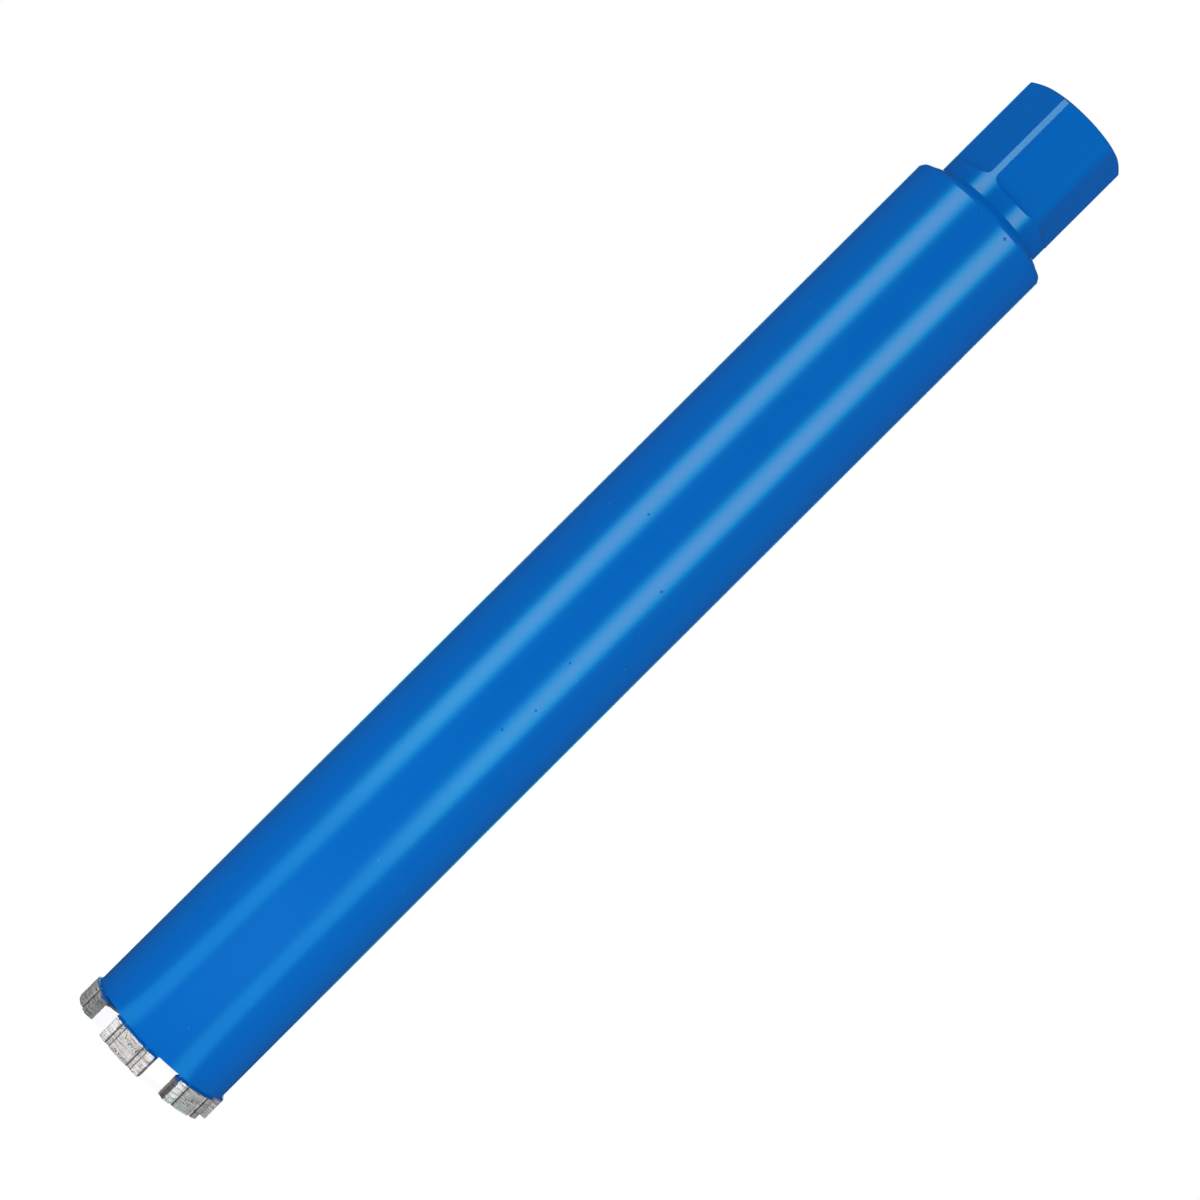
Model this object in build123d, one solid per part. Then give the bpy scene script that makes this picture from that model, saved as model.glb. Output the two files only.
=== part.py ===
from build123d import *
import math
import os

# A wet core bit for drilling stone and concrete, standing on its crown, with its hub upwards.
# The origin is on the axis of the barrel, in the plane of the cutting faces. Millimetres.

# Barrel: a drawn tube, bored out a little for the hub, with a shallow gullet between each two segments
barrel_diameter = 60.0
barrel_wall = 2.0
barrel_length = 412.1
barrel_rim_taper = 0.5
barrel_rim_taper_height = 1.1
seat_relief = 0.3
seat_runout = 1.0
gullet_depth = 0.7
gullet_corner_radius = 0.6
gullet_end_gap = 0.3

# Crown: pressed segments, brazed to the end of the barrel, that stand proud of its wall on both sides
segment_count = 6
outer_overhang = 1.25
inner_overhang = 0.2
segment_length = 20.0
segment_height = 9.3
segment_edge_radius = 0.35
first_segment_angle = 10.0

# Water grooves that run down the faces of a segment
groove_offset = 5.6
groove_mouth = 2.7
groove_floor = 1.3
groove_depth = 1.2
inner_groove_mouth = 3.2
inner_groove_floor = 1.6
inner_groove_depth = 0.7

# Braze under the foot of each segment, with a fillet along its outer edge
braze_film = 0.2
braze_fillet_height = 1.0
braze_fillet_inset = 0.2
braze_end_inset = 0.6
braze_clearance = 0.08

# Hub: turned from bar, with flats for a wrench, milled with a round-cornered cutter, and an end that is
# chamfered to a round face just inside the flats
hub_bar_diameter = 46.0
hub_height = 49.5
wrench_size = 41.0
flat_length = 37.1
flat_runout_radius = 2.9
hub_face_radius = 20.3
hub_end_chamfer_height = 1.2
hub_cone_height = 3.5
hub_cone_margin = 0.8
plug_length = 12.0
plug_clearance = 0.05
plug_lead = 1.0

# Female thread 1 1/4 inch - 7 UNC, left as its core hole, with its mouth and its undercut
thread_major_diameter = 31.75
thread_core_diameter = 27.82
thread_length = 34.0
thread_mouth_chamfer = 2.2
undercut_width = 4.0
undercut_clearance = 0.3
water_passage_diameter = 20.0
passage_chamfer = 1.5

# Weld bead between the tube's rim and the cone of the hub
weld_height = 2.2
weld_rim_margin = 0.6
weld_crown = 0.35

# Radii and levels that follow
barrel_radius = barrel_diameter / 2
bore_radius = barrel_radius - barrel_wall
crown_radius = barrel_radius + outer_overhang
segment_inner_radius = bore_radius - inner_overhang
barrel_foot = segment_height + braze_film
barrel_rim = barrel_foot + barrel_length
hub_radius = hub_bar_diameter / 2
hub_top = barrel_rim + hub_height
seat_radius = bore_radius + seat_relief
hub_cone_foot = bore_radius - hub_cone_margin
plug_radius = seat_radius - plug_clearance
plug_foot = barrel_rim - plug_length
seat_foot = plug_foot - seat_runout
thread_foot = hub_top - thread_length
segment_pitch = 360 / segment_count
overshoot = 1.0


def segment_angles():
    return [first_segment_angle + index * segment_pitch for index in range(segment_count)]


# A ring of rectangular section about the axis
def ring(outer_radius, inner_radius, foot, height):
    section = Circle(outer_radius) - Circle(inner_radius)
    return Pos(0, 0, foot) * extrude(section, height)


# The tapering section of a groove that opens along +X, with its mouth at the face
def groove_section(face_x, offset_y, mouth, floor, depth, direction):
    slope = (mouth - floor) / 2 / depth
    wide = mouth / 2 + slope * overshoot
    corners = [
        (face_x + direction * overshoot, offset_y - wide),
        (face_x + direction * overshoot, offset_y + wide),
        (face_x - direction * depth, offset_y + floor / 2),
        (face_x - direction * depth, offset_y - floor / 2),
    ]
    return make_face(Polyline(*corners, close=True))


# The plan of a segment that lies across +X, between two parallel pressed ends
def segment_plan():
    ends = Pos(crown_radius, 0) * Rectangle(crown_radius, segment_length)
    plan = (Circle(crown_radius) - Circle(segment_inner_radius)) & ends
    for side in (-1, 1):
        face_x = math.sqrt(crown_radius**2 - groove_offset**2)
        plan -= groove_section(face_x, side * groove_offset, groove_mouth, groove_floor, groove_depth, 1)
    plan -= groove_section(
        segment_inner_radius, 0, inner_groove_mouth, inner_groove_floor, inner_groove_depth, -1
    )
    return plan


def segment():
    block = extrude(segment_plan(), segment_height)
    upright_ends = [
        edge
        for edge in block.edges().filter_by(Axis.Z)
        if abs(abs(edge.center().Y) - segment_length / 2) < segment_edge_radius
    ]
    return fillet(upright_ends, segment_edge_radius)


# The film under a segment's foot, and the fillet of braze in the corner that the foot overhangs
def segment_braze():
    length = segment_length - 2 * braze_end_inset
    wall = barrel_radius + braze_clearance
    film_top = barrel_foot - braze_clearance
    section = [
        (bore_radius, segment_height),
        (crown_radius - braze_fillet_inset, segment_height),
        (wall, barrel_foot + braze_fillet_height),
        (wall, film_top),
        (bore_radius, film_top),
    ]
    bead = revolve(Plane.XZ * make_face(Polyline(*section, close=True)), Axis.Z)
    reach = Pos(crown_radius, 0, segment_height) * Box(crown_radius, length, crown_radius)
    return bead & reach


# The cut that clears the tube's end between two segments, as a slot with rounded corners along +X
def gullet():
    half_gap = math.radians(segment_pitch / 2) - math.asin(segment_length / 2 / barrel_radius)
    width = 2 * (barrel_radius * math.sin(half_gap) - gullet_end_gap)
    height = 2 * gullet_depth
    slot = RectangleRounded(width, height, gullet_corner_radius)
    return Pos(0, 0, barrel_foot) * extrude(Plane.YZ * slot, barrel_radius + overshoot)


def barrel_tube():
    tube = ring(barrel_radius, bore_radius, barrel_foot, barrel_length)
    rim = tube.edges().group_by(Axis.Z)[-1].sort_by(SortBy.RADIUS)[-1]
    side = tube.faces().filter_by(GeomType.CYLINDER).sort_by(SortBy.AREA)[-1]
    tube = chamfer(rim, barrel_rim_taper_height, barrel_rim_taper, reference=side)
    tube -= Pos(0, 0, seat_foot) * extrude(Circle(seat_radius), barrel_rim - seat_foot + overshoot)
    for angle in segment_angles():
        tube -= Rot(0, 0, angle + segment_pitch / 2) * gullet()
    return tube


# Half of the turned section of the hub, from its plug up to its end face
def hub_turning():
    section = [
        (0, plug_foot),
        (plug_radius - plug_lead, plug_foot),
        (plug_radius, plug_foot + plug_lead),
        (plug_radius, barrel_rim),
        (hub_cone_foot, barrel_rim),
        (hub_radius, barrel_rim + hub_cone_height),
        (hub_radius, hub_top - hub_end_chamfer_height),
        (hub_face_radius, hub_top),
        (0, hub_top),
    ]
    return revolve(Plane.XZ * make_face(Polyline(*section, close=True)), Axis.Z)


# What is bored out of the hub: the thread's core, its undercut and the water passage
def hub_bore():
    core = thread_core_diameter / 2
    mouth = core + thread_mouth_chamfer
    relief = thread_major_diameter / 2 + undercut_clearance
    passage = water_passage_diameter / 2
    undercut_foot = thread_foot - undercut_width
    section = [
        (0, plug_foot - overshoot),
        (passage + passage_chamfer + overshoot, plug_foot - overshoot),
        (passage, plug_foot + passage_chamfer),
        (passage, undercut_foot),
        (relief, undercut_foot),
        (relief, thread_foot),
        (core, thread_foot + relief - core),
        (core, hub_top - thread_mouth_chamfer),
        (mouth + overshoot, hub_top + overshoot),
        (0, hub_top + overshoot),
    ]
    return revolve(Plane.XZ * make_face(Polyline(*section, close=True)), Axis.Z)


# The metal that a cutter takes off beside one flat, with the round run-out of its corner at the foot
def flat_cut():
    flat_x = wrench_size / 2
    flat_foot = hub_top - flat_length
    far_x = hub_radius + flat_runout_radius
    far_z = hub_top + overshoot
    runout = CenterArc((flat_x + flat_runout_radius, flat_foot), flat_runout_radius, 180, 90)
    rest = Polyline(
        (flat_x + flat_runout_radius, flat_foot - flat_runout_radius),
        (far_x, flat_foot - flat_runout_radius),
        (far_x, far_z),
        (flat_x, far_z),
        (flat_x, flat_foot),
    )
    return extrude(Plane.XZ * make_face([runout, rest]), hub_radius, both=True)


def hub():
    body = hub_turning() - hub_bore()
    for index in range(6):
        body -= Rot(0, 0, 30 + index * 60) * flat_cut()
    return body


def hub_weld():
    toe = hub_cone_foot - (hub_cone_foot - hub_radius) * weld_height / hub_cone_height
    outer = (barrel_radius - barrel_rim_taper - weld_rim_margin, barrel_rim)
    upper = (toe, barrel_rim + weld_height)
    across = math.hypot(outer[0] - upper[0], outer[1] - upper[1])
    middle = (
        (outer[0] + upper[0]) / 2 + weld_crown * (upper[1] - outer[1]) / across,
        (outer[1] + upper[1]) / 2 + weld_crown * (outer[0] - upper[0]) / across,
    )
    bead = ThreePointArc(outer, middle, upper)
    underside = Polyline(upper, (hub_cone_foot, barrel_rim), outer)
    return revolve(Plane.XZ * make_face([bead, underside]), Axis.Z)


def main():
    os.makedirs("parts", exist_ok=True)
    export_step(barrel_tube(), "parts/barrel_tube.step")
    export_step(hub(), "parts/hub.step")
    export_step(hub_weld(), "parts/hub_weld.step")
    for index, angle in enumerate(segment_angles(), start=1):
        export_step(Rot(0, 0, angle) * segment(), f"parts/segment_{index}.step")
        export_step(Rot(0, 0, angle) * segment_braze(), f"parts/segment_braze_{index}.step")


main()
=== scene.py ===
import math

import bpy
from mathutils import Matrix, Vector


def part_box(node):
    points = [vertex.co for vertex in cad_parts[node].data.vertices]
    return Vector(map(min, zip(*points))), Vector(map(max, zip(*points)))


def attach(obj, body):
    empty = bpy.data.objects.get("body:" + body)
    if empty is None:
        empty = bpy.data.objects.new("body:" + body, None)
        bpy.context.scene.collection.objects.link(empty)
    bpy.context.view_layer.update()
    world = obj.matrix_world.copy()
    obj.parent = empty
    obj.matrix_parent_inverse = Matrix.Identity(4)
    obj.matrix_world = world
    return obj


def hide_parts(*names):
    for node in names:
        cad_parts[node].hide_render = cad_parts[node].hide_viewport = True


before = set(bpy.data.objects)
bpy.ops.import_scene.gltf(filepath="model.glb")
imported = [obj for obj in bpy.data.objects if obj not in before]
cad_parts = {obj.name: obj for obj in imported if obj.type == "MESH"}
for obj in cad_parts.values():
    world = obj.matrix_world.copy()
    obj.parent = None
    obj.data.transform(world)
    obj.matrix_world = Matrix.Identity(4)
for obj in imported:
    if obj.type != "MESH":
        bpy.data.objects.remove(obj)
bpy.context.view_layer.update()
mm = 0.001
joinGap = 1e-7  # vertices closer than this become one
fullTurn = 2 * math.pi

print("stage: frame loaded")


# selection and modifiers
def clearSelection():
    bpy.ops.object.select_all(action="DESELECT")


def makeActive(piece):
    clearSelection()
    piece.select_set(True)
    bpy.context.view_layer.objects.active = piece


def edit(piece, kind="VERT"):
    makeActive(piece)
    bpy.ops.object.mode_set(mode="EDIT")
    bpy.ops.mesh.select_mode(type=kind)


def leaveEdit():
    bpy.ops.object.mode_set(mode="OBJECT")


def deselectMesh(piece, kind):
    edit(piece, kind)
    bpy.ops.mesh.select_all(action="DESELECT")
    leaveEdit()


# open a piece for editing with only the chosen vertices, or only the chosen edges, selected
def editVertices(piece, chosen):
    deselectMesh(piece, "VERT")
    for vertex in piece.data.vertices:
        vertex.select = chosen(vertex.co)
    bpy.ops.object.mode_set(mode="EDIT")


def editEdges(piece, chosen):
    deselectMesh(piece, "EDGE")
    for edge in piece.data.edges:
        edge.select = chosen([piece.data.vertices[index].co for index in edge.vertices])
    bpy.ops.object.mode_set(mode="EDIT")


def applyPlace(piece):
    makeActive(piece)
    bpy.ops.object.transform_apply(location=True, rotation=True, scale=True)


def applyModifier(piece, kind, **settings):
    makeActive(piece)
    modifier = piece.modifiers.new(kind.lower(), kind)
    for name, value in settings.items():
        setattr(modifier, name, value)
    bpy.ops.object.modifier_apply(modifier=modifier.name)


def joinPieces(pieces, name):
    clearSelection()
    for piece in pieces:
        piece.select_set(True)
    bpy.context.view_layer.objects.active = pieces[0]
    bpy.ops.object.join()
    pieces[0].name = name
    return pieces[0]


def cutAway(piece, cutter):
    applyModifier(piece, "BOOLEAN", object=cutter, operation="DIFFERENCE", solver="EXACT")
    bpy.data.objects.remove(cutter)


def turnAbout(piece, angle):
    piece.rotation_euler.z = angle
    applyPlace(piece)


def copyOf(piece, name):
    other = piece.copy()
    other.data = piece.data.copy()
    other.name = name
    bpy.context.scene.collection.objects.link(other)
    return other


# a piece and its copies, each turned to one of the angles round the axis
def copiesAbout(piece, angles):
    copies = [piece] + [copyOf(piece, piece.name) for angle in angles[1:]]
    for turned, angle in zip(copies, angles):
        turnAbout(turned, angle)
    return copies


def smoothShade(piece, degrees):
    makeActive(piece)
    bpy.ops.object.shade_smooth_by_angle(angle=math.radians(degrees))
    applyModifier(piece, "WEIGHTED_NORMAL", keep_sharp=True)


def cloudTexture(name, size):
    texture = bpy.data.textures.new(name, "CLOUDS")
    texture.noise_scale = size
    texture.noise_depth = 2
    return texture


def displace(piece, texture, strength, level, group=""):
    applyModifier(
        piece, "DISPLACE", texture=texture, texture_coords="LOCAL",
        strength=strength, mid_level=level, vertex_group=group,
    )


def addBlock(place, size):
    clearSelection()
    bpy.ops.mesh.primitive_cube_add(size=1, location=place, scale=size)
    block = bpy.context.object
    applyPlace(block)
    return block


# spin what is selected round the axis and join it where it meets itself
def spinSelected(steps, angle):
    bpy.ops.mesh.spin(steps=steps, angle=angle, center=(0, 0, 0), axis=(0, 0, 1))
    bpy.ops.mesh.select_all(action="SELECT")
    bpy.ops.mesh.remove_doubles(threshold=joinGap)
    bpy.ops.mesh.normals_make_consistent(inside=False)
    leaveEdit()


# one vertex is drawn round a closed outline in the XZ plane, (radius, height), then spun round the axis
def turnOutline(name, outline, steps, angle=fullTurn, corner=0.0, cornerSteps=2):
    clearSelection()
    last = outline[0]
    bpy.ops.mesh.primitive_plane_add(size=mm, location=(last[0], 0, last[1]))
    piece = bpy.context.object
    piece.name = name
    edit(piece)
    bpy.ops.mesh.select_all(action="SELECT")
    bpy.ops.mesh.merge(type="CENTER")
    for point in outline[1:] + outline[:1]:
        step = (point[0] - last[0], 0, point[1] - last[1])
        bpy.ops.mesh.extrude_vertices_move(TRANSFORM_OT_translate={"value": step})
        last = point
    bpy.ops.mesh.select_all(action="SELECT")
    bpy.ops.mesh.remove_doubles(threshold=joinGap)
    if corner:
        bpy.ops.mesh.bevel(offset=corner, segments=cornerSteps, affect="VERTICES")
        bpy.ops.mesh.select_all(action="SELECT")
    if angle < fullTurn:
        bpy.ops.mesh.edge_face_add()
        bpy.ops.transform.rotate(value=-angle / 2, orient_axis="Z", center_override=(0, 0, 0))
    spinSelected(steps, angle)
    applyPlace(piece)
    return piece


# sizes that the frame gives
tubeLow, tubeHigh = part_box("barrel_tube")
hubLow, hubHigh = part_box("hub")
segmentLow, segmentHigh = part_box("segment_1")
segmentCount = 6


def nodeAngle(node):
    points = [vertex.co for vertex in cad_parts[node].data.vertices]
    middle = sum(points, Vector()) / len(points)
    return math.atan2(middle.y, middle.x)


segmentAngles = [nodeAngle(f"segment_{index + 1}") for index in range(segmentCount)]

# barrel
barrel = {
    "radius": tubeHigh.x,
    "wall": 2.0 * mm,
    "foot": tubeLow.z,
    "rim": tubeHigh.z,
    "steps": 288,
    "edge": 0.18 * mm,
    "rimTaper": 0.5 * mm,
    "rimTaperHeight": 1.1 * mm,
    "seatRelief": 0.3 * mm,
    "seatDepth": 13 * mm,
    "gulletDepth": 0.7 * mm,
    "gulletWidth": 10.36 * mm,
    "gulletReach": 8 * mm,  # of the cutter, across the wall
    "gulletCorner": 0.6 * mm,
    "gulletCornerSteps": 5,
    "loops": (3 * mm, 12 * mm, 60 * mm),  # rows of edges above the gullets
    "smooth": 30,  # degrees
}


def gulletCutter():
    foot = barrel["foot"]
    place = (barrel["radius"] - barrel["wall"] / 2, 0, foot)
    cutter = addBlock(place, (barrel["gulletReach"], barrel["gulletWidth"], 2 * barrel["gulletDepth"]))
    # its upper edges that run through the wall are rounded
    editEdges(cutter, lambda ends: abs(ends[0].x - ends[1].x) > mm and min(ends[0].z, ends[1].z) > foot)
    bpy.ops.mesh.bevel(offset=barrel["gulletCorner"], segments=barrel["gulletCornerSteps"], affect="EDGES")
    leaveEdit()
    return cutter


def makeBarrel():
    radius = barrel["radius"]
    bore = radius - barrel["wall"]
    seat = bore + barrel["seatRelief"]
    seatFoot = barrel["rim"] - barrel["seatDepth"]
    outer = [(radius, barrel["foot"] + height) for height in barrel["loops"]]
    inner = [(bore, barrel["foot"] + height) for height in reversed(barrel["loops"])]
    outline = [
        (radius, barrel["foot"]),
        *outer,
        (radius, barrel["rim"] - barrel["rimTaperHeight"]),
        (radius - barrel["rimTaper"], barrel["rim"]),
        (seat, barrel["rim"]),
        (seat, seatFoot),
        (bore, seatFoot),
        *inner,
        (bore, barrel["foot"]),
    ]
    tube = turnOutline("barrelTube", outline, barrel["steps"], corner=barrel["edge"])
    between = [angle + math.pi / segmentCount for angle in segmentAngles]
    cutAway(tube, joinPieces(copiesAbout(gulletCutter(), between), "gulletCutters"))
    smoothShade(tube, barrel["smooth"])
    return tube


tube = makeBarrel()
print("stage: barrel", len(tube.data.polygons), "faces")

# hub
hub = {
    "radius": 23.0 * mm,
    "foot": hubLow.z,
    "top": hubHigh.z,
    "plugRadius": hubHigh.x,  # the plug is the widest part
    "plugLead": 1.0 * mm,
    "shoulder": barrel["rim"],
    "coneFoot": 27.2 * mm,
    "coneHeight": 3.5 * mm,
    "faceRadius": 20.3 * mm,
    "endChamferHeight": 1.2 * mm,
    "flat": 20.5 * mm,  # half the wrench size
    "flatLength": 37.1 * mm,
    "flatAngles": [math.radians(30 + 60 * index) for index in range(6)],
    "runoutRadius": 2.9 * mm,
    "runoutSteps": 8,
    "steps": 216,
    "edge": 0.12 * mm,
    "flatEdge": 0.2 * mm,
    "flatEdgeSteps": 2,
    "flatEdgeAngle": 23,  # degrees between faces, above which their edge is rounded
    "threadCore": 13.91 * mm,
    "threadMajor": 15.875 * mm,
    "threadPitch": 25.4 / 7 * mm,
    "threadFlank": 30,  # degrees
    "threadLength": 34.0 * mm,
    "threadSteps": 64,
    "threadSpare": 0.6 * mm,  # how far the thread's cutter starts inside the core
    "mouthChamfer": 2.2 * mm,
    "undercut": 16.175 * mm,
    "undercutWidth": 4.0 * mm,
    "passage": 10.0 * mm,
    "passageChamfer": 1.5 * mm,
    "smooth": 20,  # degrees
}


# the block that one flat is milled with, rounded along its lower inner edge
def flatCutter():
    radius = hub["runoutRadius"]
    far = hub["radius"] + radius
    low = hub["top"] - hub["flatLength"] - radius
    high = hub["top"] + mm
    wide = 1.6 * hub["radius"]  # more than a flat is wide
    middle = ((hub["flat"] + far) / 2, 0, (low + high) / 2)
    cutter = addBlock(middle, (far - hub["flat"], wide, high - low))
    editEdges(cutter, lambda ends: all(end.x < middle[0] and end.z < middle[2] for end in ends))
    bpy.ops.mesh.bevel(offset=radius, segments=hub["runoutSteps"], affect="EDGES")
    leaveEdit()
    return cutter


# the cutter of the thread: one tooth of it, screwed up the bore
def threadCutter():
    clearSelection()
    core = hub["threadCore"]
    depth = hub["threadMajor"] - core
    pitch = hub["threadPitch"]
    crest = pitch / 8  # the flat bottom of a unified thread
    foot = crest + 2 * depth * math.tan(math.radians(hub["threadFlank"]))
    low = hub["top"] - hub["threadLength"] - foot
    place = (core + depth / 2, 0, low)
    bpy.ops.mesh.primitive_plane_add(size=1, location=place, rotation=(math.pi / 2, 0, 0))
    cutter = bpy.context.object
    cutter.scale = (depth, foot, 1)
    applyPlace(cutter)
    editVertices(cutter, lambda point: point.x > place[0])
    bpy.ops.transform.resize(value=(1, 1, crest / foot), center_override=place)
    bpy.ops.mesh.select_all(action="INVERT")
    bpy.ops.mesh.extrude_edges_move(TRANSFORM_OT_translate={"value": (-hub["threadSpare"], 0, 0)})
    # only the tooth's outline is kept, to be screwed
    bpy.ops.mesh.select_all(action="SELECT")
    bpy.ops.mesh.dissolve_limited(angle_limit=0.01)
    bpy.ops.mesh.select_all(action="SELECT")
    bpy.ops.mesh.delete(type="ONLY_FACE")
    leaveEdit()
    turns = math.ceil((hub["threadLength"] + foot) / pitch) + 1
    applyModifier(
        cutter, "SCREW", angle=fullTurn, screw_offset=pitch, iterations=turns, axis="Z",
        steps=hub["threadSteps"], render_steps=hub["threadSteps"], use_merge_vertices=False,
    )
    edit(cutter, "EDGE")
    bpy.ops.mesh.select_all(action="DESELECT")
    bpy.ops.mesh.select_non_manifold()
    bpy.ops.mesh.edge_face_add()
    bpy.ops.mesh.select_all(action="SELECT")
    bpy.ops.mesh.normals_make_consistent(inside=False)
    leaveEdit()
    return cutter


def makeHub():
    core = hub["threadCore"]
    threadFoot = hub["top"] - hub["threadLength"]
    undercutFoot = threadFoot - hub["undercutWidth"]
    plug = hub["plugRadius"]
    outline = [
        (hub["passage"] + hub["passageChamfer"], hub["foot"]),
        (plug - hub["plugLead"], hub["foot"]),
        (plug, hub["foot"] + hub["plugLead"]),
        (plug, hub["shoulder"]),
        (hub["coneFoot"], hub["shoulder"]),
        (hub["radius"], hub["shoulder"] + hub["coneHeight"]),
        (hub["radius"], hub["top"] - hub["endChamferHeight"]),
        (hub["faceRadius"], hub["top"]),
        (core + hub["mouthChamfer"], hub["top"]),
        (core, hub["top"] - hub["mouthChamfer"]),
        (core, threadFoot + hub["undercut"] - core),
        (hub["undercut"], threadFoot),
        (hub["undercut"], undercutFoot),
        (hub["passage"], undercutFoot),
        (hub["passage"], hub["foot"] + hub["passageChamfer"]),
    ]
    body = turnOutline("hubBody", outline, hub["steps"], corner=hub["edge"])
    cutAway(body, joinPieces(copiesAbout(flatCutter(), hub["flatAngles"]), "flatCutters"))
    applyModifier(
        body, "BEVEL", width=hub["flatEdge"], segments=hub["flatEdgeSteps"],
        limit_method="ANGLE", angle_limit=math.radians(hub["flatEdgeAngle"]),
    )
    cutAway(body, threadCutter())
    smoothShade(body, hub["smooth"])
    return body


hubBody = makeHub()
print("stage: hub", len(hubBody.data.polygons), "faces")

# weld between the tube's rim and the hub's cone
weld = {
    "outer": 28.9 * mm,
    "height": 2.2 * mm,
    "crown": 0.35 * mm,
    "sink": 0.25 * mm,
    "corner": 0.3 * mm,
    "cornerSteps": 3,
    "steps": 288,
    "rippleSize": 2.2 * mm,
    "ripple": 0.10 * mm,
    "rippleLevel": 0.8,  # the tone of the texture that moves nothing
    "smooth": 50,  # degrees
}


def makeWeld():
    low = hub["shoulder"]
    outer = Vector((weld["outer"], low))
    slope = (hub["coneFoot"] - hub["radius"]) / hub["coneHeight"]
    toe = Vector((hub["coneFoot"] - slope * weld["height"], low + weld["height"]))
    outward = Vector((weld["height"], weld["outer"] - toe.x)).normalized()
    middle = (outer + toe) / 2 + outward * weld["crown"]
    outline = [
        tuple(outer),
        tuple(middle),
        tuple(toe),
        (toe.x - weld["sink"], toe.y - weld["sink"]),
        (hub["coneFoot"] - weld["sink"], low),
    ]
    bead = turnOutline(
        "hubWeld", outline, weld["steps"], corner=weld["corner"], cornerSteps=weld["cornerSteps"]
    )
    smoothShade(bead, weld["smooth"])
    displace(bead, cloudTexture("weldRipple", weld["rippleSize"]), weld["ripple"], weld["rippleLevel"])
    return bead


hubWeld = makeWeld()
print("stage: weld", len(hubWeld.data.polygons), "faces")

# segments of the crown
segment = {
    "outer": 31.25 * mm,
    "inner": 27.8 * mm,
    "height": segmentHigh.z,
    "length": 20.0 * mm,
    "sweep": math.radians(46),  # wide enough for both ends to be cut square
    "steps": 46,
    "corner": 0.2 * mm,
    "cornerSteps": 3,
    "grooveOffset": 5.6 * mm,
    "groove": {"mouth": 2.7 * mm, "floor": 1.3 * mm, "depth": 1.2 * mm},
    "notch": {"mouth": 3.2 * mm, "floor": 1.6 * mm, "depth": 0.7 * mm},
    "voxel": 0.17 * mm,
    "grainSize": 0.35 * mm,
    "grain": 0.07 * mm,
    "chipSize": 0.8 * mm,
    "chip": 0.4 * mm,
    "chipReach": 0.5 * mm,
    "chipTone": (0.22, 0.48),  # a wider or higher range of the noise chips more of the edges
    "lift": 0.04 * mm,
}


# a bar that cuts one upright groove, opening outwards (side 1) or inwards (side -1)
def grooveBar(face, offset, side, mouth, floor, depth):
    spare = mm
    wide = mouth + (mouth - floor) / depth * spare
    height = segment["height"] + 4 * spare
    middle = (face + side * (spare - depth) / 2, offset, segment["height"] / 2)
    bar = addBlock(middle, (depth + spare, wide, height))
    editVertices(bar, lambda point: side * (middle[0] - point.x) > 0)
    bpy.ops.transform.resize(value=(1, floor / wide, 1), center_override=middle)
    leaveEdit()
    return bar


# the bars of the two grooves in the outer face
def grooveBars(mouth, floor, depth):
    offset = segment["grooveOffset"]
    face = math.sqrt(segment["outer"] ** 2 - offset**2)
    return [grooveBar(face, side * offset, 1, mouth, floor, depth) for side in (-1, 1)]


def segmentBlock():
    outline = [
        (segment["inner"], segment["lift"]),
        (segment["outer"], segment["lift"]),
        (segment["outer"], segment["height"]),
        (segment["inner"], segment["height"]),
    ]
    block = turnOutline(
        "segment", outline, segment["steps"], angle=segment["sweep"],
        corner=segment["corner"], cornerSteps=segment["cornerSteps"],
    )
    for side in (-1, 1):
        end = (0, side * segment["length"] / 2, 0)
        edit(block)
        bpy.ops.mesh.select_all(action="SELECT")
        bpy.ops.mesh.bisect(plane_co=end, plane_no=(0, side, 0), use_fill=True, clear_outer=True)
        leaveEdit()
    bars = [*grooveBars(**segment["groove"]), grooveBar(segment["inner"], 0, -1, **segment["notch"])]
    cutAway(block, joinPieces(bars, "grooveBars"))
    return block


# how close a point of the block is to two of its faces at once
def edgeNearness(point):
    radial = math.hypot(point.x, point.y)
    gaps = sorted(
        (
            min(abs(radial - segment["inner"]), abs(segment["outer"] - radial)),
            segment["length"] / 2 - abs(point.y),
            min(point.z, segment["height"] - point.z),
        )
    )
    return max(0.0, 1 - gaps[1] / segment["chipReach"])


def chipTexture():
    chips = cloudTexture("chips", segment["chipSize"])
    chips.use_color_ramp = True
    for stop, place, tone in zip(chips.color_ramp.elements, segment["chipTone"], (0.0, 1.0)):
        stop.position = place
        stop.color = (tone, tone, tone, 1.0)
    return chips


# the block is turned to its place before it is displaced, so each segment gets its own chips and grain
def roughenBlock(block, angle, chips, grain):
    applyModifier(block, "REMESH", mode="VOXEL", voxel_size=segment["voxel"], use_smooth_shade=True)
    group = block.vertex_groups.new(name="edges")
    for vertex in block.data.vertices:
        group.add([vertex.index], edgeNearness(vertex.co), "REPLACE")
    turnAbout(block, angle)
    displace(block, chips, segment["chip"], 1.0, "edges")
    displace(block, grain, segment["grain"], 1.0)


def makeSegments():
    plain = segmentBlock()
    chips = chipTexture()
    grain = cloudTexture("grain", segment["grainSize"])
    blocks = []
    for index, angle in enumerate(segmentAngles):
        block = copyOf(plain, f"segment{index + 1}")
        roughenBlock(block, angle, chips, grain)
        blocks.append(block)
    bpy.data.objects.remove(plain)
    return blocks


segments = makeSegments()
print("stage: segments", sum(len(block.data.polygons) for block in segments), "faces")

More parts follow.
